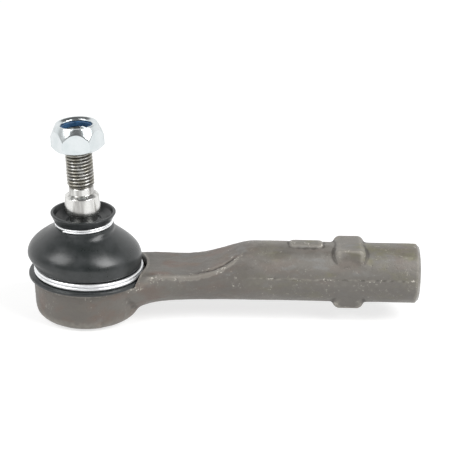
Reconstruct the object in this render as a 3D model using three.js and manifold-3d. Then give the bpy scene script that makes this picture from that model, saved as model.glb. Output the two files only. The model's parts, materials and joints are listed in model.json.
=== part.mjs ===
// A car's outer tie rod end, in millimetres, +Z up.
//
// One forging holds a ball socket at the left and a threaded tube at the right. A tapered ball stud leans
// out of the socket through a rubber boot, which two wire rings clamp, and carries a self-locking nut.
// The origin is the centre of the socket's base, +Z runs up the socket's axis and +X along the tube.

import * as THREE from 'three';
import { mergeVertices } from 'three/addons/utils/BufferGeometryUtils.js';
import Module from 'manifold-3d';

// ---------------------------------------------------------------- clearances
const FIT_GAP = 0.3; // left between pieces that touch, seat or clamp
const WIRE_GAP = 0.08; // left between the two turns of one wire ring

// ---------------------------------------------------------------- end cover and spring
const COVER_THICKNESS = 1.4;
const COVER_DISH_DEPTH = 1.9;
const COVER_LIP_REACH = 1.9; // how far the rolled lip covers the cover's rim
const SPRING_THICKNESS = 1;
const SPRING_RISE = 1.2;
const SPRING_INNER_RADIUS = 5.2;

// ---------------------------------------------------------------- ball and bearing shells
const BALL_RADIUS = 11;
const BEARING_WALL = 2;
const BEARING_FLOOR = 1.2; // under the ball, less the fit gap
const LOWER_SEAT_HOLE_RADIUS = 4.5;
const SEAT_SPLIT = 1.2; // the shells part this far below the ball centre
const UPPER_SEAT_REACH = 3.6; // how far the upper shell grips above the ball centre
const LOWER_SEAT_FLOOR = COVER_THICKNESS + SPRING_RISE + SPRING_THICKNESS + FIT_GAP * 2;
const BALL_HEIGHT = LOWER_SEAT_FLOOR + BEARING_FLOOR + BALL_RADIUS; // ball centre above the socket's base

// ---------------------------------------------------------------- stud
const STUD_LEAN = THREE.MathUtils.degToRad(3.7); // how far the stud rests off upright, away from the tube
const NECK_RADIUS = 5.2;
const NECK_LENGTH = 23.7; // from the ball centre to the taper's lower edge
const TAPER_LARGE_RADIUS = 6.7;
const TAPER_SMALL_RADIUS = 6.25;
const TAPER_LENGTH = 6.7;
const TAPER_CHAMFER = 0.8;
const RELIEF_LENGTH = 2.95; // the plain groove between the taper and the thread
const STUD_THREAD_RADIUS = 5; // M10 x 1.25
const STUD_THREAD_PITCH = 1.25;
const STUD_THREAD_LENGTH = 18.75;
const THREAD_DEPTH_PER_PITCH = 0.6134;
const THREAD_START = NECK_LENGTH + TAPER_LENGTH + TAPER_CHAMFER + RELIEF_LENGTH;
const THREAD_END = THREAD_START + STUD_THREAD_LENGTH;

// ---------------------------------------------------------------- socket
const SOCKET_WALL = 5.5;
const SOCKET_DRAFT = 1.1; // how much wider the socket is at the top
const SOCKET_EDGE_RADIUS = 2.4;
const SOCKET_NECK_WALL = 3; // of the collar that the boot is clamped round
const SOCKET_BORE_RADIUS = BALL_RADIUS + BEARING_WALL + FIT_GAP * 2;
const SOCKET_MOUTH_RADIUS = BALL_RADIUS - 0.8;
const SOCKET_BASE_RADIUS = SOCKET_BORE_RADIUS + SOCKET_WALL;
const SOCKET_TOP_RADIUS = SOCKET_BASE_RADIUS + SOCKET_DRAFT;
const SOCKET_NECK_RADIUS = SOCKET_BORE_RADIUS + SOCKET_NECK_WALL;
const SOCKET_HEIGHT = BALL_HEIGHT - 1; // the shoulder that the boot's lower lip rests on
const SOCKET_NECK_TOP = BALL_HEIGHT + 4.8;
const COVER_RADIUS = SOCKET_BORE_RADIUS + 1.7;
const COVER_DISH_RADIUS = SOCKET_BORE_RADIUS - 4.1;

// ---------------------------------------------------------------- shank and threaded tube
const SHANK_AXIS_HEIGHT = BALL_HEIGHT + 1.6;
const TUBE_RADIUS = 11.1;
const TUBE_END = 123.2;
const TUBE_CHAMFER = 1;
const TUBE_THREAD_RADIUS = 7; // M14 x 1.5
const TUBE_TAP_RADIUS = TUBE_THREAD_RADIUS - 0.8;
const TUBE_TAP_DEPTH = 40;
const TUBE_TAP_CONE = 3.6;
const SHANK_FLAT_HEIGHT = 2; // flat top of the shank, above its axis
const SHANK_ROOT_RADIUS = TUBE_RADIUS + 3.3; // where the shank runs into the socket
const SHANK_FLARE_LENGTH = 33; // from the socket's side to where the shank is as thin as the tube
const RAMP_START = SOCKET_BASE_RADIUS + 15;
const RAMP_END = RAMP_START + 26;
const LUG_CENTRE = TUBE_END - 26;
const LUG_LENGTH = 11.4;
const LUG_HALF_HEIGHT = TUBE_RADIUS + 0.65;
const LUG_HALF_WIDTH = 7.3;
const LUG_ROOT_HALF_WIDTH = TUBE_RADIUS - 1.7;
const LUG_ROOT_HEIGHT = 6;
const LUG_CORNER = 2.4;
const PAD_LENGTH = 11.6;
const PAD_START = LUG_CENTRE - PAD_LENGTH - 10.3;
const PAD_HALF_WIDTH = 2.8;
const PAD_RISE = 0.6;

// ---------------------------------------------------------------- boot and its wire rings
const LOWER_WIRE = 1.3;
const UPPER_WIRE = 0.78;
const BOOT_WALL = 1.7;
const BOOT_LIP_THICKNESS = 1.05;
const BOOT_LIP_RADIUS = SOCKET_TOP_RADIUS + 1.6;
const BOOT_STEP_RADIUS = BOOT_LIP_RADIUS + 0.6; // machined into the shank, round the boot's lip
const BOOT_LOWER_GROOVE_RADIUS = SOCKET_NECK_RADIUS + FIT_GAP + 2;
const BOOT_BULGE_RADIUS = BOOT_LOWER_GROOVE_RADIUS + 2;
const BOOT_BULGE_HEIGHT = SOCKET_HEIGHT + 9.7; // above the socket's base, as every boot height is
const BOOT_UPPER_GROOVE_RADIUS = NECK_RADIUS + FIT_GAP + 4.4;
const BOOT_UPPER_GROOVE_HEIGHT = BALL_HEIGHT + NECK_LENGTH - 4.8;
const BOOT_CUP_HEIGHT = BOOT_UPPER_GROOVE_HEIGHT + 4.6;
const BOOT_CUP_RADIUS = BOOT_UPPER_GROOVE_RADIUS + 2;
const BOOT_SIDE_SHIFT = 1.3; // how far the boot's wall bulges to the side that the stud leans to

// ---------------------------------------------------------------- lock nut
const NUT_ENGAGEMENT = 4.2; // thread inside the nut
const NUT_SEAT = THREAD_END - NUT_ENGAGEMENT; // its lower face above the ball centre, along the stud
const NUT_ACROSS_FLATS = 17;
const NUT_HEIGHT = 9.6;
const NUT_FACE_RADIUS = NUT_ACROSS_FLATS / 2 - 0.4;
const NUT_CHAMFER_SLOPE = Math.tan(Math.PI / 6);
const NUT_TURN = THREE.MathUtils.degToRad(1);
const INSERT_THICKNESS = 1.9;
const INSERT_RADIUS = STUD_THREAD_RADIUS + 1.9;
const INSERT_FLOOR = NUT_HEIGHT - INSERT_THICKNESS - 1.1;
const NUT_SHOULDER = INSERT_FLOOR + 0.3; // where the hexagon gives way to the crimped collar
const NUT_COLLAR_RADIUS = INSERT_RADIUS + FIT_GAP + 0.95;
const NUT_MOUTH_RADIUS = INSERT_RADIUS - 1.15;

// ---------------------------------------------------------------- facets
const FINE = 56;
const MEDIUM = 36;
const COARSE = 28;

const wasm = await Module();
wasm.setup();

/** A closed three.js geometry as a solid that can be cut and joined. */
function solid(geometry) {
  const bare = geometry.clone();
  bare.deleteAttribute('normal');
  bare.deleteAttribute('uv');
  const merged = mergeVertices(bare, 1e-4);
  return new wasm.Manifold(new wasm.Mesh({
    numProp: 3,
    vertProperties: merged.attributes.position.array,
    triVerts: new Uint32Array(merged.index.array),
  }));
}

/** A solid back as a three.js geometry. */
function geometryOf(body) {
  const mesh = body.getMesh();
  const geometry = new THREE.BufferGeometry();
  geometry.setAttribute('position', new THREE.BufferAttribute(mesh.vertProperties, 3));
  geometry.setIndex(new THREE.BufferAttribute(mesh.triVerts, 1));
  geometry.computeVertexNormals();
  return geometry;
}

/** An outline of [radius, height] pairs turned round Z: anticlockwise, so the faces point outwards. */
function turned(outline, facets) {
  const points = outline.map(([radius, height]) => new THREE.Vector2(radius, height));
  return new THREE.LatheGeometry(points, facets).rotateX(Math.PI / 2);
}

/** The same outline turned round X instead, with its heights running along X. */
function turnedAlongX(outline, facets) {
  return turned(outline, facets).rotateY(Math.PI / 2);
}

/** Points on an arc round [0, height], from one angle to another, measured up from the horizontal. */
function arc(radius, height, from, to, steps) {
  const points = [];
  for (let i = 0; i <= steps; i++) {
    const angle = from + (to - from) * i / steps;
    points.push([radius * Math.cos(angle), height + radius * Math.sin(angle)]);
  }
  return points;
}

/** Points on a smooth curve through a few guiding [radius, height] pairs. */
function smooth(guides, steps) {
  const curve = new THREE.SplineCurve(guides.map(([radius, height]) => new THREE.Vector2(radius, height)));
  return curve.getPoints(steps).map((point) => [point.x, point.y]);
}

function named(name, geometry, colour, roughness, metalness) {
  const material = new THREE.MeshStandardMaterial({ color: colour, roughness, metalness });
  const mesh = new THREE.Mesh(geometry, material);
  mesh.name = name;
  return mesh;
}

// ================================================================ the forging

/** The plain socket: a drum with a rounded lower edge and a little draft. */
function socketDrum() {
  const edge = arc(SOCKET_EDGE_RADIUS, SOCKET_EDGE_RADIUS, -Math.PI / 2, 0, 4)
    .map(([out, height]) => [SOCKET_BASE_RADIUS - SOCKET_EDGE_RADIUS + out, height]);
  return solid(turned([
    [0, 0],
    ...edge,
    [SOCKET_TOP_RADIUS, SOCKET_HEIGHT],
    [0, SOCKET_HEIGHT],
  ], FINE));
}

/** The round bar from the socket to the open end, wider where it grows out of the socket. */
function roundShank() {
  const flare = smooth([
    [SHANK_ROOT_RADIUS, SOCKET_BASE_RADIUS],
    [TUBE_RADIUS + 1.4, SOCKET_BASE_RADIUS + SHANK_FLARE_LENGTH * 0.32],
    [TUBE_RADIUS + 0.5, SOCKET_BASE_RADIUS + SHANK_FLARE_LENGTH * 0.6],
    [TUBE_RADIUS, SOCKET_BASE_RADIUS + SHANK_FLARE_LENGTH],
  ], 8);
  return solid(turnedAlongX([
    [0, 3],
    [SHANK_ROOT_RADIUS, 3],
    ...flare,
    [TUBE_RADIUS, TUBE_END - TUBE_CHAMFER],
    [TUBE_RADIUS - TUBE_CHAMFER, TUBE_END],
    [0, TUBE_END],
  ], FINE)).translate(0, 0, SHANK_AXIS_HEIGHT);
}

/** What is missing above the shank's flat top, up the ramp to where the bar is fully round. */
function shankTopCut() {
  const above = TUBE_RADIUS * 3;
  const outline = new THREE.Shape();
  outline.moveTo(-SOCKET_TOP_RADIUS, SHANK_FLAT_HEIGHT);
  outline.lineTo(RAMP_START, SHANK_FLAT_HEIGHT);
  outline.bezierCurveTo(
    RAMP_START + 12, SHANK_FLAT_HEIGHT,
    RAMP_END - 8, TUBE_RADIUS * 0.52,
    RAMP_END, TUBE_RADIUS + 0.7,
  );
  outline.lineTo(RAMP_END, above);
  outline.lineTo(-SOCKET_TOP_RADIUS, above);
  const width = SHANK_ROOT_RADIUS * 3;
  const block = new THREE.ExtrudeGeometry(outline, { depth: width, bevelEnabled: false, curveSegments: 8 });
  return solid(block.translate(0, 0, -width / 2).rotateX(Math.PI / 2)).translate(0, 0, SHANK_AXIS_HEIGHT);
}

/** The block whose two flats take a spanner, right through the tube. */
function spannerLugs() {
  const half = LUG_LENGTH / 2;
  const side = new THREE.Shape();
  side.moveTo(-half + LUG_CORNER, -LUG_HALF_HEIGHT);
  side.absarc(half - LUG_CORNER, -LUG_HALF_HEIGHT + LUG_CORNER, LUG_CORNER, -Math.PI / 2, 0);
  side.absarc(half - LUG_CORNER, LUG_HALF_HEIGHT - LUG_CORNER, LUG_CORNER, 0, Math.PI / 2);
  side.absarc(-half + LUG_CORNER, LUG_HALF_HEIGHT - LUG_CORNER, LUG_CORNER, Math.PI / 2, Math.PI);
  side.absarc(-half + LUG_CORNER, -LUG_HALF_HEIGHT + LUG_CORNER, LUG_CORNER, Math.PI, Math.PI * 1.5);
  const width = LUG_ROOT_HALF_WIDTH * 2;
  const along = new THREE.ExtrudeGeometry(side, { depth: width, bevelEnabled: false, curveSegments: 4 })
    .translate(0, 0, -width / 2)
    .rotateX(Math.PI / 2);
  const end = new THREE.Shape([
    new THREE.Vector2(-LUG_HALF_WIDTH, -LUG_HALF_HEIGHT),
    new THREE.Vector2(LUG_HALF_WIDTH, -LUG_HALF_HEIGHT),
    new THREE.Vector2(LUG_ROOT_HALF_WIDTH, -LUG_ROOT_HEIGHT),
    new THREE.Vector2(LUG_ROOT_HALF_WIDTH, LUG_ROOT_HEIGHT),
    new THREE.Vector2(LUG_HALF_WIDTH, LUG_HALF_HEIGHT),
    new THREE.Vector2(-LUG_HALF_WIDTH, LUG_HALF_HEIGHT),
    new THREE.Vector2(-LUG_ROOT_HALF_WIDTH, LUG_ROOT_HEIGHT),
    new THREE.Vector2(-LUG_ROOT_HALF_WIDTH, -LUG_ROOT_HEIGHT),
  ]);
  const across = new THREE.ExtrudeGeometry(end, { depth: LUG_LENGTH * 2, bevelEnabled: false })
    .translate(0, 0, -LUG_LENGTH)
    .rotateX(Math.PI / 2)
    .rotateZ(Math.PI / 2);
  return solid(along).intersect(solid(across)).translate(LUG_CENTRE, 0, SHANK_AXIS_HEIGHT);
}

/** The low pad on top of the tube, as round as the tube but a little proud of it. */
function markingPad() {
  const radius = TUBE_RADIUS + PAD_RISE;
  const sleeve = turnedAlongX([[0, 0], [radius, 0], [radius, PAD_LENGTH], [0, PAD_LENGTH]], FINE);
  const block = new THREE.BoxGeometry(PAD_LENGTH * 2, PAD_HALF_WIDTH * 2, radius * 2)
    .translate(0, 0, radius);
  return solid(sleeve).intersect(solid(block)).translate(PAD_START, 0, SHANK_AXIS_HEIGHT);
}

/** The socket's inside, from the cover's seat at the bottom to the mouth that the stud leans in. */
function socketCavity() {
  const lipRadius = COVER_RADIUS - COVER_LIP_REACH;
  const recessRadius = COVER_RADIUS + FIT_GAP;
  const lipTop = COVER_DISH_DEPTH - FIT_GAP;
  const coverSeat = COVER_DISH_DEPTH + COVER_THICKNESS + FIT_GAP;
  return solid(turned([
    [0, -1],
    [lipRadius, -1],
    [lipRadius, lipTop],
    [recessRadius, lipTop],
    [recessRadius, coverSeat],
    [SOCKET_BORE_RADIUS, coverSeat],
    [SOCKET_BORE_RADIUS, BALL_HEIGHT + 1],
    [SOCKET_MOUTH_RADIUS, SOCKET_NECK_TOP],
    [SOCKET_MOUTH_RADIUS, SOCKET_NECK_TOP + 1],
    [0, SOCKET_NECK_TOP + 1],
  ], FINE));
}

/** The collar on top of the socket that the boot's bead is clamped round. */
function socketNeck() {
  const chamfer = 0.8;
  return solid(turned([
    [0, SOCKET_HEIGHT - 2],
    [SOCKET_NECK_RADIUS, SOCKET_HEIGHT - 2],
    [SOCKET_NECK_RADIUS, SOCKET_NECK_TOP - chamfer],
    [SOCKET_NECK_RADIUS - chamfer, SOCKET_NECK_TOP],
    [0, SOCKET_NECK_TOP],
  ], FINE));
}

/** The tapped hole in the tube's open end, with its drill point and countersink. */
function tubeBore() {
  const bottom = TUBE_END - TUBE_TAP_DEPTH;
  const countersink = TUBE_THREAD_RADIUS + 0.3;
  return solid(turnedAlongX([
    [0, bottom - TUBE_TAP_CONE],
    [TUBE_TAP_RADIUS, bottom],
    [TUBE_TAP_RADIUS, TUBE_END - (countersink - TUBE_TAP_RADIUS)],
    [countersink + 1, TUBE_END + 1],
    [0, TUBE_END + 1],
  ], COARSE)).translate(0, 0, SHANK_AXIS_HEIGHT);
}

/** Room machined out of the shank round the boot's lip. */
function bootStepCut() {
  const height = SHANK_ROOT_RADIUS * 2;
  return solid(turned([
    [0, SOCKET_HEIGHT],
    [BOOT_STEP_RADIUS, SOCKET_HEIGHT],
    [BOOT_STEP_RADIUS, SOCKET_HEIGHT + height],
    [0, SOCKET_HEIGHT + height],
  ], FINE));
}

function forgedBody() {
  const body = roundShank()
    .subtract(shankTopCut())
    .add(socketDrum())
    .subtract(bootStepCut())
    .add(socketNeck())
    .add(spannerLugs())
    .add(markingPad())
    .subtract(socketCavity())
    .subtract(tubeBore());
  return named('forged_body', geometryOf(body), 0x7a746d, 0.55, 0.75);
}

// ================================================================ inside the socket

/** The steel plate under the ball, dished so that its middle is flush with the socket's base. */
function endCover() {
  const slope = COVER_DISH_DEPTH;
  return named('end_cover', turned([
    [0, 0],
    [COVER_DISH_RADIUS, 0],
    [COVER_DISH_RADIUS + slope, COVER_DISH_DEPTH],
    [COVER_RADIUS, COVER_DISH_DEPTH],
    [COVER_RADIUS, COVER_DISH_DEPTH + COVER_THICKNESS],
    [COVER_DISH_RADIUS + slope - 0.5, COVER_DISH_DEPTH + COVER_THICKNESS],
    [COVER_DISH_RADIUS - 0.5, COVER_THICKNESS],
    [0, COVER_THICKNESS],
  ], MEDIUM), 0x8f8f8c, 0.45, 0.85);
}

/** The coned spring washer that keeps the bearing shells pressed against the ball. */
function preloadSpring() {
  const bottom = COVER_THICKNESS + FIT_GAP;
  const outer = COVER_DISH_RADIUS - 0.5 - FIT_GAP;
  return named('preload_spring', turned([
    [SPRING_INNER_RADIUS, bottom + SPRING_RISE],
    [outer, bottom],
    [outer, bottom + SPRING_THICKNESS],
    [SPRING_INNER_RADIUS, bottom + SPRING_RISE + SPRING_THICKNESS],
    [SPRING_INNER_RADIUS, bottom + SPRING_RISE],
  ], MEDIUM), 0x6c6f73, 0.4, 0.9);
}

/** The lower bearing shell: a cup with a grease hole at its bottom. */
function lowerSeat() {
  const inner = BALL_RADIUS + FIT_GAP;
  const outer = SOCKET_BORE_RADIUS - FIT_GAP;
  const chamfer = 4.6;
  const holeAngle = -Math.acos(LOWER_SEAT_HOLE_RADIUS / inner);
  const topAngle = -Math.asin(SEAT_SPLIT / inner);
  return named('lower_seat', turned([
    [LOWER_SEAT_HOLE_RADIUS, LOWER_SEAT_FLOOR],
    [outer - chamfer, LOWER_SEAT_FLOOR],
    [outer, LOWER_SEAT_FLOOR + chamfer],
    [outer, BALL_HEIGHT - SEAT_SPLIT],
    ...arc(inner, BALL_HEIGHT, topAngle, holeAngle, 7),
    [LOWER_SEAT_HOLE_RADIUS, LOWER_SEAT_FLOOR],
  ], MEDIUM), 0xd9d7cd, 0.5, 0);
}

/** The upper bearing shell: a ring that grips the ball above its middle and seats in the socket's cone. */
function upperSeat() {
  const inner = BALL_RADIUS + FIT_GAP;
  const outer = SOCKET_BORE_RADIUS - FIT_GAP;
  const bottom = BALL_HEIGHT - SEAT_SPLIT + FIT_GAP;
  const coneBase = BALL_HEIGHT + 1 - FIT_GAP;
  const slope = (SOCKET_BORE_RADIUS - SOCKET_MOUTH_RADIUS) / (SOCKET_NECK_TOP - BALL_HEIGHT - 1);
  const top = BALL_HEIGHT + UPPER_SEAT_REACH;
  const innerFrom = Math.asin(UPPER_SEAT_REACH / inner);
  const innerTo = Math.asin((bottom - BALL_HEIGHT) / inner);
  return named('upper_seat', turned([
    [outer, bottom],
    [outer, coneBase],
    [outer - slope * (top - coneBase), top],
    ...arc(inner, BALL_HEIGHT, innerFrom, innerTo, 4),
    [outer, bottom],
  ], MEDIUM), 0xd9d7cd, 0.5, 0);
}

// ================================================================ ball stud

/** The thread's outline as stacked ridges, upwards from a height. */
function threadRidges(start) {
  const root = STUD_THREAD_RADIUS - STUD_THREAD_PITCH * THREAD_DEPTH_PER_PITCH;
  const turns = Math.round(STUD_THREAD_LENGTH / STUD_THREAD_PITCH);
  const points = [];
  for (let i = 0; i < turns; i++) {
    const height = start + i * STUD_THREAD_PITCH;
    points.push([root, height]);
    points.push([STUD_THREAD_RADIUS, height + STUD_THREAD_PITCH / 2]);
  }
  points.push([root, start + turns * STUD_THREAD_PITCH]);
  return points;
}

/** The ball stud, upright with its ball centre at the origin. */
function ballStud() {
  const neckAngle = Math.acos(NECK_RADIUS / BALL_RADIUS);
  const taperTop = NECK_LENGTH + TAPER_LENGTH;
  const root = STUD_THREAD_RADIUS - STUD_THREAD_PITCH * THREAD_DEPTH_PER_PITCH;
  const shoulder = taperTop + TAPER_CHAMFER;
  return named('ball_stud', turned([
    ...arc(BALL_RADIUS, 0, -Math.PI / 2, neckAngle, 14),
    [NECK_RADIUS, NECK_LENGTH - TAPER_CHAMFER],
    [TAPER_LARGE_RADIUS - TAPER_CHAMFER / 2, NECK_LENGTH],
    [TAPER_LARGE_RADIUS, NECK_LENGTH + TAPER_CHAMFER / 2],
    [TAPER_SMALL_RADIUS, taperTop],
    [TAPER_SMALL_RADIUS - TAPER_CHAMFER, shoulder],
    [root + 0.35, shoulder + 0.2],
    [root + 0.35, THREAD_START - 0.4],
    ...threadRidges(THREAD_START),
    [root - 0.3, THREAD_END + 0.6],
    [0, THREAD_END + 0.6],
  ], COARSE), 0xb9b8b3, 0.28, 0.95);
}

// ================================================================ boot and rings

/** Leans what is above the boot's lower bead up to the stud's own lean, and bulges its wall that way. */
function leanWithStud(geometry, from, to) {
  const places = geometry.attributes.position;
  const point = new THREE.Vector3();
  const across = new THREE.Vector3(0, 1, 0);
  for (let i = 0; i < places.count; i++) {
    point.fromBufferAttribute(places, i);
    const share = THREE.MathUtils.smoothstep(point.z, from, BOOT_BULGE_HEIGHT + 1);
    const climb = THREE.MathUtils.clamp((point.z - from) / (to - from), 0, 1);
    const bulge = Math.sin(Math.PI * Math.pow(climb, 1.5));
    point.z -= BALL_HEIGHT;
    point.applyAxisAngle(across, -STUD_LEAN * share);
    point.z += BALL_HEIGHT;
    point.x -= BOOT_SIDE_SHIFT * bulge;
    places.setXYZ(i, point.x, point.y, point.z);
  }
  return geometry;
}

/** The rubber boot: lower lip, groove, bulge, upper groove and the flared cup round the stud. */
function dustBoot() {
  const bottom = SOCKET_HEIGHT + FIT_GAP;
  const lipTop = bottom + BOOT_LIP_THICKNESS;
  const lowerGrooveTop = lipTop + LOWER_WIRE * 2 + FIT_GAP * 2 + WIRE_GAP;
  const beadBore = SOCKET_NECK_RADIUS + FIT_GAP;
  const studBore = NECK_RADIUS + FIT_GAP;
  const boreBottom = BOOT_UPPER_GROOVE_HEIGHT - 2;
  const upperGrooveTop = BOOT_UPPER_GROOVE_HEIGHT + UPPER_WIRE * 2 + FIT_GAP;
  const shoulder = smooth([
    [BOOT_BULGE_RADIUS - 1, lowerGrooveTop + 0.1],
    [BOOT_BULGE_RADIUS, BOOT_BULGE_HEIGHT],
    [BOOT_BULGE_RADIUS - 1.5, BOOT_BULGE_HEIGHT + 3.6],
    [BOOT_BULGE_RADIUS - 5.1, BOOT_BULGE_HEIGHT + 7],
    [BOOT_UPPER_GROOVE_RADIUS + 1, BOOT_UPPER_GROOVE_HEIGHT - 0.4],
  ], 11);
  const inside = smooth([
    [BOOT_UPPER_GROOVE_RADIUS - 1, BOOT_UPPER_GROOVE_HEIGHT - 1.6],
    [BOOT_BULGE_RADIUS - 5.1 - BOOT_WALL * 0.7, BOOT_BULGE_HEIGHT + 7 - BOOT_WALL * 0.8],
    [BOOT_BULGE_RADIUS - 1.5 - BOOT_WALL, BOOT_BULGE_HEIGHT + 3],
    [BOOT_BULGE_RADIUS - BOOT_WALL, BOOT_BULGE_HEIGHT - 0.4],
    [beadBore + 1, lowerGrooveTop + 0.4],
  ], 8);
  const geometry = turned([
    [beadBore, bottom],
    [BOOT_LIP_RADIUS - 0.4, bottom],
    [BOOT_LIP_RADIUS, bottom + BOOT_LIP_THICKNESS / 2],
    [BOOT_LIP_RADIUS - 0.4, lipTop],
    [BOOT_LOWER_GROOVE_RADIUS, lipTop],
    [BOOT_LOWER_GROOVE_RADIUS, lowerGrooveTop],
    ...shoulder,
    [BOOT_UPPER_GROOVE_RADIUS, BOOT_UPPER_GROOVE_HEIGHT],
    [BOOT_UPPER_GROOVE_RADIUS, upperGrooveTop],
    [BOOT_UPPER_GROOVE_RADIUS + 0.9, upperGrooveTop + 0.3],
    [BOOT_CUP_RADIUS, BOOT_CUP_HEIGHT - 0.3],
    [BOOT_CUP_RADIUS - 0.5, BOOT_CUP_HEIGHT],
    [BOOT_CUP_RADIUS - 1.1, BOOT_CUP_HEIGHT - 0.3],
    [BOOT_UPPER_GROOVE_RADIUS - 1.3, upperGrooveTop + 0.4],
    [NECK_RADIUS + 1.6, upperGrooveTop - 0.2],
    [studBore, upperGrooveTop],
    [studBore, boreBottom],
    ...inside,
    [beadBore, lowerGrooveTop],
    [beadBore, bottom],
  ], MEDIUM);
  const leaned = leanWithStud(geometry, lowerGrooveTop, boreBottom);
  return named('dust_boot', leaned, 0x2b2d2d, 0.5, 0);
}

/** Two flat turns of wire round Z, with one short step from the lower turn to the upper one. */
class WireRingPath extends THREE.Curve {
  constructor(radius, rise, crossing) {
    super();
    this.radius = radius;
    this.rise = rise;
    this.crossing = crossing;
  }

  getPoint(t, target = new THREE.Vector3()) {
    const angle = this.crossing + t * Math.PI * 4;
    const step = THREE.MathUtils.smoothstep(t, 0.44, 0.5);
    return target.set(this.radius * Math.cos(angle), this.radius * Math.sin(angle), this.rise * step);
  }
}

/** A clamp ring of round wire, its lower turn's centre at a height; its ends leave a small gap. */
function wireRing(name, grooveRadius, wire, height, crossing) {
  const sides = 4;
  const section = new THREE.Shape();
  section.absarc(0, 0, wire / 2, 0, Math.PI * 2);
  const path = new WireRingPath(grooveRadius + FIT_GAP + wire / 2, wire + WIRE_GAP, crossing);
  const geometry = new THREE.ExtrudeGeometry(section, {
    extrudePath: path,
    steps: 48,
    curveSegments: sides,
    bevelEnabled: false,
  });
  return named(name, geometry.translate(0, 0, height), 0xd4d6d8, 0.25, 1);
}

// ================================================================ lock nut

/** The hexagon nut with its crimped collar, standing on its lower face. */
function lockNut() {
  const corner = NUT_ACROSS_FLATS / Math.sqrt(3);
  const hexagon = new THREE.Shape();
  for (let i = 0; i < 6; i++) {
    const angle = i * Math.PI / 3;
    hexagon[i ? 'lineTo' : 'moveTo'](corner * Math.cos(angle), corner * Math.sin(angle));
  }
  const bar = new THREE.ExtrudeGeometry(hexagon, { depth: NUT_HEIGHT, bevelEnabled: false });
  const lowerChamfer = (corner - NUT_FACE_RADIUS) * NUT_CHAMFER_SLOPE;
  const envelope = turned([
    [0, 0],
    [NUT_FACE_RADIUS, 0],
    [corner, lowerChamfer],
    [corner, NUT_SHOULDER - 1.2],
    [NUT_COLLAR_RADIUS + 0.45, NUT_SHOULDER],
    [NUT_COLLAR_RADIUS, NUT_HEIGHT - 1],
    [NUT_COLLAR_RADIUS - 0.8, NUT_HEIGHT],
    [0, NUT_HEIGHT],
  ], MEDIUM);
  const threadBore = STUD_THREAD_RADIUS + FIT_GAP;
  const pocket = INSERT_RADIUS + FIT_GAP;
  const pocketTop = INSERT_FLOOR + INSERT_THICKNESS + FIT_GAP * 2;
  const bore = turned([
    [0, -1],
    [threadBore + 1.6, -1],
    [threadBore, 0.6],
    [threadBore, INSERT_FLOOR],
    [pocket, INSERT_FLOOR],
    [pocket, pocketTop - 0.4],
    [NUT_MOUTH_RADIUS + 0.2, pocketTop],
    [NUT_MOUTH_RADIUS, NUT_HEIGHT + 1],
    [0, NUT_HEIGHT + 1],
  ], MEDIUM);
  const body = solid(bar).intersect(solid(envelope)).subtract(solid(bore));
  const nut = named('lock_nut', geometryOf(body), 0xdfe6ec, 0.2, 1);
  nut.rotation.z = NUT_TURN;
  return nut;
}

/** The nylon ring in the nut's collar, already cut to the stud's thread. */
function nylonInsert() {
  const bore = STUD_THREAD_RADIUS + FIT_GAP;
  const bottom = INSERT_FLOOR + FIT_GAP;
  return named('nylon_insert', turned([
    [bore, bottom],
    [INSERT_RADIUS, bottom],
    [INSERT_RADIUS, bottom + INSERT_THICKNESS - 0.5],
    [INSERT_RADIUS - 1.1, bottom + INSERT_THICKNESS],
    [bore, bottom + INSERT_THICKNESS],
    [bore, bottom],
  ], MEDIUM), 0x2d5f9a, 0.45, 0);
}

// ================================================================ the assembly

const tieRodEnd = new THREE.Group();
tieRodEnd.add(forgedBody(), endCover(), preloadSpring(), lowerSeat(), upperSeat(), dustBoot());

const lowerWireHeight = SOCKET_HEIGHT + FIT_GAP * 2 + BOOT_LIP_THICKNESS + LOWER_WIRE / 2;
tieRodEnd.add(
  wireRing('boot_ring_lower', BOOT_LOWER_GROOVE_RADIUS, LOWER_WIRE, lowerWireHeight, Math.PI * 0.55),
);

// What leans with the stud stands in its own group, whose origin is the ball centre.
const studGroup = new THREE.Group();
studGroup.position.z = BALL_HEIGHT;
studGroup.rotation.y = -STUD_LEAN;
const upperWireHeight = BOOT_UPPER_GROOVE_HEIGHT + FIT_GAP + UPPER_WIRE / 2 - 0.15 - BALL_HEIGHT;
studGroup.add(
  ballStud(),
  wireRing('boot_ring_upper', BOOT_UPPER_GROOVE_RADIUS, UPPER_WIRE, upperWireHeight, Math.PI * 1.2),
);

const nutGroup = new THREE.Group();
nutGroup.position.z = NUT_SEAT;
nutGroup.add(lockNut(), nylonInsert());
studGroup.add(nutGroup);
tieRodEnd.add(studGroup);

export default tieRodEnd;
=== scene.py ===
"""A car's outer tie rod end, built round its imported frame.

A forging with a ball socket at one end and a tapped tube at the other holds a ball stud, which leans out
through a rubber boot with two wire clamp rings and carries a self-locking nut. Shapes are worked out in
millimetres and scaled to metres when a piece is finished.
"""

import json
import math

import bmesh
import bpy
from mathutils import Matrix, Vector, noise


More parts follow.
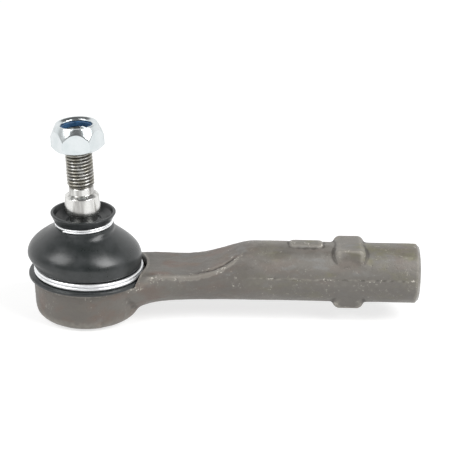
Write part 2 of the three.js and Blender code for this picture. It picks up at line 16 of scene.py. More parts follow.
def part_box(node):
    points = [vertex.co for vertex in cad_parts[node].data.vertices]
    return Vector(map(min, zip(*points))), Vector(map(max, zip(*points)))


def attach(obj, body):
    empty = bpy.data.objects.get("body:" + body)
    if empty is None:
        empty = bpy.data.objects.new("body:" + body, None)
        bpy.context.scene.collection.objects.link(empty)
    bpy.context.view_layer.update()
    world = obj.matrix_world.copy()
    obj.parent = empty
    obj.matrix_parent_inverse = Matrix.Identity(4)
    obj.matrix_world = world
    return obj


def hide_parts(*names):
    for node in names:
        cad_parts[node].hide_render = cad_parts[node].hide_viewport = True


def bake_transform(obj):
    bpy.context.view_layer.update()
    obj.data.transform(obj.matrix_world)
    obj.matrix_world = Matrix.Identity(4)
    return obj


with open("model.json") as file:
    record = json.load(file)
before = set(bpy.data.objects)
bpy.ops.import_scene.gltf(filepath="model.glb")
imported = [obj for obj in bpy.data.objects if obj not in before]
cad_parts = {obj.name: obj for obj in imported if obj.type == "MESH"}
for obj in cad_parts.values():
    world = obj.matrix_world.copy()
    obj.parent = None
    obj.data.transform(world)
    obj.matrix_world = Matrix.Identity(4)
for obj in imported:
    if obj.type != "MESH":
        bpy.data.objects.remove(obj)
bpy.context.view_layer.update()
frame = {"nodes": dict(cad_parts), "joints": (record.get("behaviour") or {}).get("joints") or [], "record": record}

MM = 0.001
WELD = 1e-4  # points closer than this, in millimetres, are one point
SEAM = 0.004  # the same, where a helical spin meets itself
ORIGIN = (0, 0, 0)
UP = Vector((0, 0, 1))
SHARP_ANGLE = math.radians(32)  # edges that turn more than this are shaded sharp
STUD_SHARP_ANGLE = math.radians(40)
ROUNDED_ANGLE = math.radians(50)  # the same, on the nut and the boot

# -------- places taken from the frame, in mm
joints = {joint["name"]: joint for joint in frame["joints"]}
mounts = {mount["name"]: mount for mount in frame["record"]["mounts"]}


def corner(node, end):
    """The lowest (0) or highest (1) corner of a CAD node, in millimetres."""
    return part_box(node)[end] / MM


BALL = Vector(joints["stud_swing"]["pos_m"]) / MM
STUD_AXIS = Vector(joints["stud_spin"]["axis"])
STUD_LEAN = math.asin(-STUD_AXIS.x)
LEANING = Matrix.Translation(BALL) @ Matrix.Rotation(-STUD_LEAN, 4, "Y")
TUBE_END, _, SHANK_AXIS = Vector(mounts["track_rod_socket"]["pos_m"]) / MM
NUT_SEAT = (Vector(mounts["nut_clamp_face"]["pos_m"]) / MM - BALL).dot(STUD_AXIS)
LUG_CENTRE, _, LUG_TOP = Vector(mounts["spanner_flat_top"]["pos_m"]) / MM
COVER_RADIUS = corner("end_cover", 1).x
COVER_TOP = corner("end_cover", 1).z
LIP_RADIUS = corner("dust_boot", 1).y  # the boot's lower lip
LOWER_RING_BOTTOM = corner("boot_ring_lower", 0).z
BALL_RADIUS = corner("ball_stud", 1).y

# -------- sizes of the forging
SOCKET_RADIUS = 19.1
SOCKET_TOP_RADIUS = 20.2
SOCKET_EDGE = 4.0
SOCKET_HEIGHT = BALL.z - 1
COLLAR_RADIUS = 16.6
COLLAR_TOP = BALL.z + 4.8
MOUTH_RADIUS = BALL_RADIUS - 0.8
SOCKET_BORE = BALL_RADIUS + 2.6
STEP_RADIUS = LIP_RADIUS + 0.3
TUBE_RADIUS = 11.1
TUBE_CHAMFER = 1.0
FLAT_HEIGHT = 2.0  # the shank's flat top, above its axis
FLAT_EDGE = 3.0  # how softly the flat turns into the round side
JUNCTION_PASSES = 40  # extra smoothing where the shank grows out of the drum
JUNCTION_END = 34
SEAT_DROP = 4.4  # how far the flat's near side falls beside the boot
FAR_SEAT_DROP = 1.2  # the same, on the far side
RAMP_START = 34.1
RAMP_LENGTH = 26
RAMP_RISE = 9.8
RAMP_POWER = 2.1
BEAD_RISE = 0.36  # the rolled edge beside the flat
BEAD_WIDTH = 0.95
CREASE_DEPTH = 0.55  # the fold above that edge
CREASE_WIDTH = 0.65
FAR_BEAD = 0.35  # share of both on the far side
FLASH_HEIGHT = 1.4  # the flash line, above the shank's axis
FLASH_RISE = 0.10
FLASH_WIDTH = 0.4
LUG_LENGTH = 11.8
LUG_HALF_HEIGHT = LUG_TOP - SHANK_AXIS
LUG_HALF_WIDTH = 7.3
LUG_ROOT_HALF_WIDTH = 9.4
LUG_ROOT_HEIGHT = 6
LUG_CORNER = 2.5  # in the side view
LUG_SIDE_CORNER = 2.4  # seen from above
PAD_START = 75.3
PAD_LENGTH = 11.6
PAD_HALF_WIDTH = 2.8
PAD_RISE = 0.8  # above the tube
PAD_DEPTH = 4  # with what is inside the tube
PAD_CORNER = 1.1
VOXEL = 0.45  # of the skin that melts the forging's parts together
FILLET_PASSES = 6
TAP_PITCH = 1.5
TAP_MINOR = 6.2
TAP_MAJOR = 7.0
TAP_START = TUBE_END - 40
TAP_MOUTH = TUBE_END - 1.1

# -------- sizes of the stud and the nut
NECK_RADIUS = 5.2
NECK_LENGTH = 23.7  # from the ball centre to the taper
TAPER_LARGE = 6.7
TAPER_SMALL = 6.25
TAPER_TOP = NECK_LENGTH + 6.7
STUD_CREST = 5.0
STUD_PITCH = 1.25
STUD_ROOT = STUD_CREST - 0.77
THREAD_START = TAPER_TOP + 3.75
THREAD_END = THREAD_START + 18.75
NUT_FLATS = 17.0
NUT_HEIGHT = 9.6
NUT_CONE_START = 4.2
NUT_CONE_TOP = 9.15
NUT_RIM_RADIUS = 7.8
NUT_MOUTH_RADIUS = 5.65
NUT_EDGE = 0.35  # radius of the hexagon's upright corners
NUT_FACE_RADIUS = 8.1
NUT_FACE_SLOPE = 0.577  # of the chamfer outside the clamping face
NUT_BORE = 4.9
NUT_TAP_MINOR = 5.12
NUT_TAP_MAJOR = 5.62
NUT_TURN = math.radians(1)
POCKET_RADIUS = 7.2  # where the locking insert sits
INSERT_FLOOR = 6.3
INSERT_RADIUS = 7.1
INSERT_BORE = 5.2
INSERT_THICKNESS = 1.85

# -------- sizes of the boot and its rings
LOWER_WIRE = 1.35
UPPER_WIRE = 0.78
BOOT_WALL = 1.7
BOOT_BOTTOM = SOCKET_HEIGHT + 0.05
BOOT_LIP_TOP = LOWER_RING_BOTTOM - 0.3
LOWER_GROOVE_TOP = BOOT_LIP_TOP + LOWER_WIRE * 2 + 0.68
LOWER_GROOVE_RADIUS = COLLAR_RADIUS + 2.3
BULGE_RADIUS = LOWER_GROOVE_RADIUS + 2
BULGE_HEIGHT = SOCKET_HEIGHT + 9.7
UPPER_GROOVE_RADIUS = NECK_RADIUS + 4.7
UPPER_GROOVE_HEIGHT = BALL.z + 18.9
UPPER_GROOVE_TOP = UPPER_GROOVE_HEIGHT + 1.86
CUP_HEIGHT = UPPER_GROOVE_HEIGHT + 5.1
CUP_RADIUS = UPPER_GROOVE_RADIUS + 2.25
BOOT_BORE_BOTTOM = UPPER_GROOVE_HEIGHT - 2
BOOT_SIDE_SHIFT = 1.05
BOOT_STRETCH = 3.4  # how much the wall is drawn in on the side that the stud leans away from
SHOULDER_HEIGHT = BULGE_HEIGHT + 7.4
LOWER_RING_SHIFT = 0.45

# One pitch of a rolled thread: (share of the pitch, share of the depth).
THREAD_FORM = (
    (0.0, 0.0),
    (0.08, 0.05),
    (0.16, 0.22),
    (0.34, 0.86),
    (0.40, 0.97),
    (0.48, 1.0),
    (0.56, 1.0),
    (0.64, 0.97),
    (0.70, 0.86),
    (0.88, 0.22),
    (0.96, 0.05),
)


# ======== small sums

def clamp(value, low=0.0, high=1.0):
    return max(low, min(high, value))


def smooth_step(value, low, high):
    share = clamp((value - low) / (high - low))
    return share * share * (3 - 2 * share)


def soft_min(first, second, reach):
    """The smaller of two numbers, rounded off where they are less than reach apart."""
    near = max(reach - abs(first - second), 0) / reach
    return min(first, second) - near * near * reach / 4


def bump_at(value, centre, width):
    """A smooth hump of height 1."""
    return math.exp(-((value - centre) / width) ** 2)


def filleted(corners, steps=5):
    """An outline of (radius, height) or (radius, height, fillet) corners, with its fillets as arcs."""
    points = []
    for index, spot in enumerate(corners):
        here = Vector(spot[:2])
        fillet = spot[2] if len(spot) > 2 else 0
        if not fillet:
            points.append(tuple(here))
            continue
        before = (Vector(corners[index - 1][:2]) - here).normalized()
        after = (Vector(corners[(index + 1) % len(corners)][:2]) - here).normalized()
        half = before.angle(after) / 2
        centre = here + (before + after).normalized() * (fillet / math.sin(half))
        first = here + before * (fillet / math.tan(half)) - centre
        last = here + after * (fillet / math.tan(half)) - centre
        sweep = first.angle_signed(last)
        for step in range(steps + 1):
            turn = Matrix.Rotation(-sweep * step / steps, 2)
            points.append(tuple(centre + turn @ first))
    return points


def flowing(guides, steps):
    """Points on a smooth curve through (radius, height) guides."""
    padded = [Vector(guides[0])] + [Vector(guide) for guide in guides] + [Vector(guides[-1])]
    points = []
    for a, b, c, d in zip(padded, padded[1:], padded[2:], padded[3:]):
        for step in range(steps):
            t = step / steps
            curve = (
                b * 2 + (c - a) * t + (a * 2 - b * 5 + c * 4 - d) * t * t
                + (b * 3 - a - c * 3 + d) * t ** 3
            )
            points.append(tuple(curve / 2))
    points.append(tuple(guides[-1]))
    return points


# ======== shapes from bmesh operators

def weld(bm):
    """Merges points that meet and turns every face outward."""
    bmesh.ops.remove_doubles(bm, verts=bm.verts, dist=WELD)
    bmesh.ops.recalc_face_normals(bm, faces=bm.faces)
    return bm


def chained(bm, outline, closed):
    """The outline's points as vertices in the X-Z plane, joined by edges."""
    verts = [bm.verts.new((radius, 0, height)) for radius, height in outline]
    pairs = list(zip(verts, verts[1:]))
    if closed:
        pairs.append((verts[-1], verts[0]))
    return verts + [bm.edges.new(pair) for pair in pairs]


def turned(outline, steps, closed=False):
    """An outline turned round Z. A closed outline makes a ring, an open one ends on the axis."""
    bm = bmesh.new()
    geom = chained(bm, outline, closed)
    bmesh.ops.spin(
        bm, geom=geom, cent=ORIGIN, axis=UP, angle=math.tau, steps=steps, use_merge=True
    )
    return weld(bm)


def moved(bm, matrix):
    bmesh.ops.transform(bm, matrix=matrix, verts=bm.verts)
    return bm


def sliced(bm, place, normal, clear_outer=False):
    """Cuts edges into a shape along a plane, and may take away what is outside it."""
    geom = bm.verts[:] + bm.edges[:] + bm.faces[:]
    bmesh.ops.bisect_plane(
        bm, geom=geom, dist=WELD, plane_co=place, plane_no=normal, clear_outer=clear_outer
    )


def only(kind, items):
    """The items that are of one kind: points, edges or faces."""
    return [item for item in items if isinstance(item, kind)]


def along_x(bm, height):
    """Lays a shape that was turned round Z along X, at a height."""
    return moved(bm, Matrix.Translation((0, 0, height)) @ Matrix.Rotation(math.pi / 2, 4, "Y"))


def set_ring(verts, radius, height):
    """Puts each vertex at a radius and a height, at its own angle round Z."""
    for vert in verts:
        flat = Vector((vert.co.x, vert.co.y))
        flat = flat.normalized() * radius
        vert.co = (flat.x, flat.y, height)


def carry_on(bm, height, outline):
    """Extrudes the open end that a turned shape has at a height through more (radius, height) rings."""
    edges = [
        edge for edge in bm.edges
        if edge.is_boundary and all(abs(vert.co.z - height) < 0.01 for vert in edge.verts)
    ]
    for radius, level in outline:
        made = bmesh.ops.extrude_edge_only(bm, edges=edges)["geom"]
        verts = set(only(bmesh.types.BMVert, made))
        edges = [edge for edge in only(bmesh.types.BMEdge, made) if verts.issuperset(edge.verts)]
        set_ring(verts, radius, level)


def screw(crest, root, pitch, start, end, envelope, below, above, steps):
    """A closed screw round Z with one true helical ridge, between two outlines that end on the axis."""
    bm = bmesh.new()
    turns = math.ceil((end - start) / pitch) + 1
    outline = [
        (root + (crest - root) * depth, start + (turn + share) * pitch)
        for turn in range(-2, turns + 1)
        for share, depth in THREAD_FORM
    ]
    geom = chained(bm, outline, closed=False)
    bmesh.ops.spin(
        bm, geom=geom, cent=ORIGIN, axis=UP, dvec=UP * (pitch / steps), angle=math.tau, steps=steps
    )
    bmesh.ops.remove_doubles(bm, verts=bm.verts, dist=SEAM)
    for level, side in ((start, -1), (end, 1)):
        sliced(bm, (0, 0, level), UP * side, clear_outer=True)
    for vert in bm.verts:
        flat = Vector((vert.co.x, vert.co.y))
        flat = flat.normalized() * min(flat.length, envelope(vert.co.z))
        vert.co = (flat.x, flat.y, vert.co.z)
    carry_on(bm, start, below)
    carry_on(bm, end, above)
    return weld(bm)


def linked(name, data):
    """A new object in the scene."""
    made = bpy.data.objects.new(name, data)
    bpy.context.scene.collection.objects.link(made)
    return made


def as_object(name, bm):
    """A bmesh as an object of its own, still in millimetres."""
    mesh = bpy.data.meshes.new(name)
    bm.to_mesh(mesh)
    bm.free()
    return linked(name, mesh)


def settled(made):
    """Turns an object's modifiers into plain mesh and takes them off."""
    bpy.context.view_layer.update()
    evaluated = made.evaluated_get(bpy.context.evaluated_depsgraph_get())
    mesh = bpy.data.meshes.new_from_object(evaluated)
    made.modifiers.clear()
    made.data = mesh
    return made


def cut(made, tool):
    """Takes a tool's shape out of an object and deletes the tool."""
    modifier = made.modifiers.new("cut", "BOOLEAN")
    modifier.operation = "DIFFERENCE"
    modifier.solver = "EXACT"
    modifier.object = tool
    settled(made)
    bpy.data.objects.remove(tool)


def finish_piece(made, body, node, materials, sharp=SHARP_ANGLE):
    """Scales a piece to metres, smooths its shading, gives it its materials and hangs it on its body; the CAD node
    it stands for is hidden.

    A piece given no body is not hung on one.
    """
    made.data.transform(Matrix.Scale(MM, 4))
    made.data.shade_smooth()
    made.data.set_sharp_from_angle(angle=sharp)
    made.data.materials.clear()
    for material in materials:
        made.data.materials.append(material)
    if body:
        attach(made, body)
    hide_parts(node)
    return made


# ======== materials

def shader_maths(operation, swapped=False):
    """A method that puts two values, or a value and a number, through one Math node."""
    def method(self, other):
        first, second = (other, self) if swapped else (self, other)
        return self.paint.node("ShaderNodeMath", {"operation": operation}, {0: first, 1: second})
    return method


class Value:
    """A socket of a material, so that shader maths reads like any other."""

    def __init__(self, paint, socket):
        self.paint = paint
        self.socket = socket

    __add__ = shader_maths("ADD")
    __radd__ = shader_maths("ADD", swapped=True)
    __sub__ = shader_maths("SUBTRACT")
    __rsub__ = shader_maths("SUBTRACT", swapped=True)
    __mul__ = shader_maths("MULTIPLY")
    __pow__ = shader_maths("POWER")


class Paint:
    """One procedural material on a piece's own Object coordinates, in metres."""

    def __init__(self, name, tree=None):
        if tree is None:
            self.material = bpy.data.materials.new(name)
            self.material.use_nodes = True
            tree = self.material.node_tree
        self.tree = tree
        self.tree.nodes.clear()
        self.place = self.node("ShaderNodeTexCoord", {}, {}, "Object")

    def node(self, kind, settings, inputs, output=0):
        """Adds a node with its settings first, then its inputs, and returns one of its outputs."""
        made = self.tree.nodes.new(kind)
        for name, value in settings.items():
            setattr(made, name, value)
        for name, value in inputs.items():
            if isinstance(value, Value):
                self.tree.links.new(value.socket, made.inputs[name])
            else:
                made.inputs[name].default_value = value
        return Value(self, made.outputs[output])

    def noise(self, size, detail=4.0, roughness=0.55, stretch=(1, 1, 1), at=None):
        """Cloudy noise from 0 to 1 whose blotches are about size millimetres across."""
        place = self.node(
            "ShaderNodeVectorMath", {"operation": "MULTIPLY"}, {0: at or self.place, 1: stretch}
        )
        settings = {"noise_dimensions": "3D"}
        inputs = {"Vector": place, "Scale": 1 / (size * MM), "Detail": detail, "Roughness": roughness}
        return self.node("ShaderNodeTexNoise", settings, inputs, "Fac")

    def cells(self, size):
        """The distance to the nearest of many points that are about size millimetres apart."""
        inputs = {"Vector": self.place, "Scale": 1 / (size * MM)}
        return self.node("ShaderNodeTexVoronoi", {"voronoi_dimensions": "3D"}, inputs, "Distance")

    def between(self, value, low, high, to_low=0.0, to_high=1.0):
        """A value's range low to high, eased onto another range."""
        settings = {"interpolation_type": "SMOOTHSTEP"}
        inputs = {"Value": value, "From Min": low, "From Max": high, "To Min": to_low, "To Max": to_high}
        return self.node("ShaderNodeMapRange", settings, inputs)

    def blend(self, first, second, share):
        """Two colours, mixed by a share of the second."""
        settings = {"data_type": "RGBA", "clamp_factor": True}
        return self.node("ShaderNodeMix", settings, {0: share, 6: colour(first), 7: colour(second)}, 2)

    def parts(self, place):
        """The X, Y and Z of a vector."""
        made = self.tree.nodes.new("ShaderNodeSeparateXYZ")
        self.tree.links.new(place.socket, made.inputs[0])
        return [Value(self, output) for output in made.outputs]

    def attribute(self, name):
        """A value that is stored on the mesh's points."""
        return self.node("ShaderNodeAttribute", {"attribute_name": name}, {}, "Fac")

    def bumped(self, height, depth, strength):
        """A normal from a height of 0 to 1, which stands for depth in millimetres."""
        inputs = {"Height": height, "Distance": depth * MM, "Strength": strength}
        return self.node("ShaderNodeBump", {}, inputs)

    def finish(self, inputs):
        """Ends the material in one Principled shader."""
        self.end_at("ShaderNodeOutputMaterial", self.node("ShaderNodeBsdfPrincipled", {}, inputs))
        return self.material

    def end_at(self, output, shader):
        """Links a shader to an output node of its own."""
        made = self.tree.nodes.new(output)
        self.tree.links.new(shader.socket, made.inputs["Surface"])


def colour(value):
    """An (r, g, b) with its alpha, or a link as it is."""
    return value if isinstance(value, Value) else (*value, 1.0)


def forging_skin():
    """Scaled, shot-blasted steel, mottled grey, brown and olive, with pale flecks where it is knocked, and painted
    shade on its underside and in its creases.

    Places along x and z are in metres.
    """
    paint = Paint("forging_skin")
    x, _, z = paint.parts(paint.place)
    edge = paint.attribute("edge")
    flow = (0.5, 1, 1)  # the mottling runs along the bar
    broad = paint.noise(20, 3, 0.5)
    blotches = paint.noise(5, 5, 0.62, stretch=flow)
    grain = paint.noise(0.7, 3, 0.6)
    near_socket = paint.between(x, 0.066, 0.030)
    along_tube = paint.between(x, 0.056, 0.078)
    ramp = paint.between(x, 0.028, 0.042) * paint.between(x, 0.070, 0.056)
    rust = paint.between(paint.noise(7, 6, 0.65, stretch=flow), 0.48, 0.64)
    olive = paint.between(paint.noise(9, 5, 0.6, stretch=flow), 0.50, 0.66)
    # painted shade: the bar is darkened towards its underside, by height alone, standing in for the shade under it
    under = paint.between(z, (SHANK_AXIS + 6) * MM, (SHANK_AXIS - 3) * MM)
    wander = (paint.noise(9, 3, 0.5) - 0.5) * (2.0 * MM)
    from_flash = (z - (SHANK_AXIS + FLASH_HEIGHT) * MM + wander) * (1 / MM)
    flash = paint.between(from_flash * from_flash, 0.20, 0.01) * along_tube
    knocks = paint.between(paint.noise(0.8, 3, 0.65), 0.56, 0.66)
    knocked = paint.between(paint.noise(5, 2, 0.5), 0.47, 0.60) * paint.between(z, 0.004, 0.012)
    specks = paint.between(paint.noise(0.5, 2, 0.5), 0.68, 0.75)
    speckled = paint.between(paint.noise(8, 2, 0.5), 0.56, 0.66)
    scratches = paint.between(paint.noise(1.1, 3, 0.6, stretch=(1, 1, 0.22)), 0.62, 0.70)
    scratched = paint.between(paint.noise(9, 2, 0.5), 0.50, 0.62) * paint.between(x, 0.026, 0.012)
    base = paint.blend((0.170, 0.160, 0.144), (0.215, 0.203, 0.184), paint.between(broad, 0.35, 0.65))
    for tint, share in (
        ((0.125, 0.112, 0.098), paint.between(x, 0.026, 0.006) * 0.55),
        ((0.112, 0.099, 0.090), ramp * 0.45),
        ((0.190, 0.128, 0.100), rust * (near_socket * 0.5 + 0.2)),
        ((0.195, 0.186, 0.118), olive * (along_tube * 0.55 + 0.15)),
        ((0.235, 0.238, 0.236), paint.between(blotches, 0.55, 0.70) * 0.5),
        ((0.108, 0.100, 0.090), under * 0.5),
        ((0.125, 0.114, 0.098), paint.between(blotches, 0.46, 0.32) * 0.45),
        ((0.098, 0.090, 0.080), paint.between(grain, 0.58, 0.78) * 0.45),
        ((0.062, 0.058, 0.050), flash * paint.between(blotches, 0.38, 0.56) * 0.65),
        # painted shade: points that sink below their surroundings, in creases and hollows, are darkened
        ((0.062, 0.055, 0.048), paint.between(edge, -0.10, -0.55) * 0.75),
        ((0.31, 0.29, 0.255), paint.between(edge, 0.15, 0.9) * 0.45),
        ((0.66, 0.63, 0.56), knocks * knocked * paint.between(edge, 0.10, 0.45) * 0.9),
        ((0.55, 0.52, 0.46), specks * speckled * 0.85),
        ((0.34, 0.32, 0.29), scratches * scratched * 0.6),
    ):
        base = paint.blend(base, tint, share)
    pits = paint.between(paint.cells(1.3), 0.30, 0.06)
    height = paint.noise(2.2, 4, 0.6) * 0.55 + paint.noise(0.35, 4, 0.65) * 0.35 - pits * 0.25
    return paint.finish({
        "Base Color": base,
        "Metallic": 0.35,
        "Roughness": paint.between(blotches, 0.3, 0.7, 0.40, 0.58),
        "Specular IOR Level": 0.5,
        "Normal": paint.bumped(height, 0.22, 1.0),
    })


def machined_steel():
    """Turned steel, with fine grooves round the socket's axis."""
    paint = Paint("machined_steel")
    x, y, z = paint.parts(paint.place)
    out = (x * x + y * y) ** 0.5
    across = paint.node("ShaderNodeCombineXYZ", {}, {0: out, 1: z, 2: 0.0})
    grooves = paint.noise(0.12, 2, 0.5, at=across)
    tone_noise = paint.noise(3, 4, 0.6)
    base = paint.blend((0.24, 0.23, 0.21), (0.34, 0.33, 0.31), paint.between(tone_noise, 0.35, 0.65))
    base = paint.blend(base, (0.13, 0.12, 0.10), paint.between(paint.noise(1.2, 4), 0.58, 0.75) * 0.4)
    return paint.finish({
        "Base Color": base,
        "Metallic": 0.85,
        "Roughness": paint.between(tone_noise, 0.3, 0.7, 0.30, 0.42),
        "Normal": paint.bumped(grooves, 0.012, 0.6),
    })


def stud_place(paint):
    """Object coordinates turned upright with the stud, from its ball centre."""
    location = tuple(BALL * MM)
    return paint.node("ShaderNodeMapping", {"vector_type": "TEXTURE"}, {
        "Vector": paint.place, "Location": location, "Rotation": (0, -STUD_LEAN, 0),
    })


def stud_steel():
    """Ground steel on the taper with light and dark bands along it painted in as reflections, and a rolled thread
    that is stained brown and black in its grooves.
    """
    paint = Paint("stud_steel")
    place = stud_place(paint)
    x, y, z = paint.parts(place)
    out = (x * x + y * y) ** 0.5
    on_thread = paint.between(z, (THREAD_START - 0.4) * MM, (THREAD_START + 0.2) * MM)
    groove = paint.between(out, (STUD_CREST - 0.10) * MM, (STUD_ROOT + 0.2) * MM)
    stain = paint.between(paint.noise(2.6, 4, 0.6, at=place), 0.38, 0.58)
    blots = paint.between(paint.noise(1.5, 4, 0.65, at=place), 0.54, 0.66)
    rings = paint.noise(0.10, 2, 0.5, stretch=(0.02, 0.02, 1), at=place)
    # painted reflection: light and dark bands that run along the stud stand in for what the ground taper reflects
    tone_noise = paint.noise(3.2, 3, 0.5, stretch=(1, 1, 0.1), at=place)
    base = paint.blend((0.40, 0.395, 0.38), (0.70, 0.70, 0.68), paint.between(tone_noise, 0.42, 0.60))
    base = paint.blend(base, (0.33, 0.31, 0.25), on_thread * stain * 0.75)
    base = paint.blend(base, (0.12, 0.112, 0.095), on_thread * blots * 0.6)
    base = paint.blend(base, (0.065, 0.060, 0.050), on_thread * groove * 0.7)
    rough = paint.between(rings, 0.3, 0.7, 0.18, 0.26) + on_thread * 0.10 + on_thread * groove * 0.2
    return paint.finish({
        "Base Color": base,
        "Metallic": 0.97,
        "Roughness": rough,
        "Normal": paint.bumped(rings, 0.006, 0.5),
    })


def clouded_skin(name, clouds, colours, roughness, grain, depth, **extra):
    """A material of two colours in soft clouds, with a fine bump and perhaps a stain over them.

    Both noises are (size, detail, roughness), and the stain is (colour, noise, from, to, strength).
    """
    paint = Paint(name)
    tone_noise = paint.noise(*clouds)
    base = paint.blend(*colours, paint.between(tone_noise, *extra.get("span", (0.35, 0.65))))
    if "stain" in extra:
        stain, blots, low, high, strength = extra["stain"]
        base = paint.blend(base, stain, paint.between(paint.noise(*blots), low, high) * strength)
    return paint.finish({
        "Base Color": base,
        "Metallic": extra.get("metallic", 0.0),
        "Roughness": paint.between(tone_noise, 0.3, 0.7, *roughness),
        "Normal": paint.bumped(paint.noise(*grain), depth, extra.get("strength", 0.5)),
    })


def boot_rubber():
    return clouded_skin(
        "boot_rubber", (6, 4, 0.6), ((0.015, 0.018, 0.018), (0.027, 0.030, 0.031)), (0.27, 0.37),
        grain=(0.25, 3, 0.6), depth=0.012, strength=0.4,
        stain=((0.085, 0.085, 0.082), (0.6, 3, 0.6), 0.66, 0.78, 0.35),
    )


def ring_wire():
    return clouded_skin(
        "ring_wire", (4, 3, 0.6), ((0.84, 0.85, 0.86), (0.92, 0.93, 0.94)), (0.33, 0.42),
        grain=(0.5, 2, 0.5), depth=0.003, span=(0.3, 0.7), metallic=0.8,
    )


def zinc_plate():
    return clouded_skin(
        "zinc_plate", (4, 3, 0.5), ((0.60, 0.645, 0.655), (0.67, 0.705, 0.715)), (0.17, 0.25),
        grain=(0.4, 3, 0.6), depth=0.008, metallic=1.0,
    )


def blue_nylon():
    return clouded_skin(
        "blue_nylon", (1.4, 3, 0.6), ((0.012, 0.052, 0.120), (0.026, 0.092, 0.200)), (0.36, 0.48),
        grain=(0.3, 3), depth=0.02, strength=0.6, span=(0.3, 0.7),
    )


def pressed_steel():
    return clouded_skin(
        "pressed_steel", (5, 4, 0.6), ((0.22, 0.22, 0.21), (0.34, 0.34, 0.33)), (0.34, 0.48),
        grain=(0.3, 3), depth=0.02, strength=0.6, metallic=0.9,
        stain=((0.20, 0.13, 0.08), (2.4, 5), 0.60, 0.74, 0.5),
    )


def spring_steel():
    return clouded_skin(
        "spring_steel", (3, 4, 0.6), ((0.10, 0.11, 0.13), (0.19, 0.19, 0.20)), (0.28, 0.40),
        grain=(0.2, 3), depth=0.01, metallic=0.95,
    )


def bearing_plastic():
    return clouded_skin(
        "bearing_plastic", (4, 4, 0.6), ((0.66, 0.64, 0.56), (0.76, 0.74, 0.67)), (0.38, 0.50),
        grain=(0.3, 3), depth=0.015,
        stain=((0.40, 0.33, 0.20), (2, 4), 0.62, 0.78, 0.3),
    )


def floor_glow():
    """A pale sheet that is lit a little from underneath, like a light table."""
    paint = Paint("floor_glow")
    tint = paint.noise(60, 2, 0.5)
    pale = paint.blend((0.44, 0.44, 0.44), (0.46, 0.46, 0.46), tint)
    return paint.finish({
        "Base Color": pale,
        "Roughness": 0.9,
        "Specular IOR Level": 0.1,
        "Emission Color": (1, 1, 1, 1),
        "Emission Strength": 0.64,
    })


# ======== the forging

def shank_radius_up(x):
    """The shank's radius above and below its axis, wider where it grows out of the socket."""
    flare = 1.9 * math.exp(-(x - 25) / 9) + 0.35 * math.exp(-(x - 20.6) / 2.5)
    return TUBE_RADIUS + min(flare, 3.8)


def shank_radius_across(x):
    """The shank's half width, which runs into the socket's sides in a hollow curve."""
    return TUBE_RADIUS + 5.1 * math.exp(-(x - 12) / 7.5)


def flat_top(x, y=0):
    """How high the shank's top is above its axis: flat at first, then up the ramp."""
    climb = max(x - RAMP_START, 0) / RAMP_LENGTH
    drop = SEAT_DROP if y < 0 else FAR_SEAT_DROP
    fall = drop * (1 - smooth_step(x, 17, 28)) * smooth_step(abs(y), 8, 13.5)
    return FLAT_HEIGHT + RAMP_RISE * climb ** RAMP_POWER - fall


def forge_marks(place):
    """How far the flat's rolled edge, the crease above it and the flash line stand out at a point."""
    x, y, z = place
    height = z - SHANK_AXIS
    top = flat_top(x)
    side = shank_radius_across(x) * math.sqrt(max(1 - (top / shank_radius_up(x)) ** 2, 0))
    ragged = 0.75 + 1.3 * noise.noise(Vector((x / 1.9, y / 6, 3)))
    along = smooth_step(x, 22, 36) * (1 - smooth_step(x, 54, 59))
    deep = 0.2 + 0.8 * smooth_step(x, 40, 45) * (1 - smooth_step(x, 51, 55))
    waver = 0.7 * noise.noise(Vector((x / 2.6, 5, y / 6)))
    from_bead = math.hypot(abs(y) - side - 0.1, height - top + 1.4)
    from_crease = math.hypot(abs(y) - side + 1.1 + waver, height - top + 0.4)
    bead = BEAD_RISE * bump_at(from_bead, 0, BEAD_WIDTH)
    bead -= CREASE_DEPTH * deep * bump_at(from_crease, 0, CREASE_WIDTH)
    bead *= 1 if y < 0 else FAR_BEAD
    wander = 0.5 * noise.noise(Vector((x / 5, y / 9, 7)))
    flash = FLASH_RISE * smooth_step(x, 56, 66) * bump_at(height, FLASH_HEIGHT + wander, FLASH_WIDTH)
    return (bead * along + flash * (abs(y) > 6)) * ragged


def forging_shank():
    """The bar from the socket to the open end, with its flat top and its ramp."""
    start = 12
    rows = 240
    length = TUBE_END + 1 - start
    outline = [(0, start)]
    outline += [(1, start + length * row / rows) for row in range(rows + 1)]
    outline += [(0, TUBE_END + 1)]
    bm = turned(outline, steps=192)
    moved(bm, Matrix.Rotation(math.pi / 2, 4, "Y"))
    for vert in bm.verts:
        x, y, z = vert.co
        y *= shank_radius_across(x)
        z *= shank_radius_up(x)
        vert.co = (x, y, soft_min(z, flat_top(x, y), FLAT_EDGE) + SHANK_AXIS)
    return as_object("forging_shank", weld(bm))


def forging_drum():
    """The socket's drum with its soft lower edge, and the boss that its collar is cut from."""
    outline = filleted([
        (0, 0),
        (SOCKET_RADIUS, 0, SOCKET_EDGE),
        (SOCKET_TOP_RADIUS, SOCKET_HEIGHT + 1.2, 0.8),
        (COLLAR_RADIUS + 1.6, SOCKET_HEIGHT + 1.4, 1.0),
        (COLLAR_RADIUS + 1.4, COLLAR_TOP + 1.2),
        (0, COLLAR_TOP + 1.2),
    ], steps=8)
    return as_object("forging_drum", turned(outline, steps=144))


def corner_fall(x, half, radius):
    """How far a corner of a radius falls away at x, on a block that is half long each way."""
    past = clamp(abs(x) - (half - radius), 0, radius)
    return radius - math.sqrt(radius ** 2 - past ** 2)


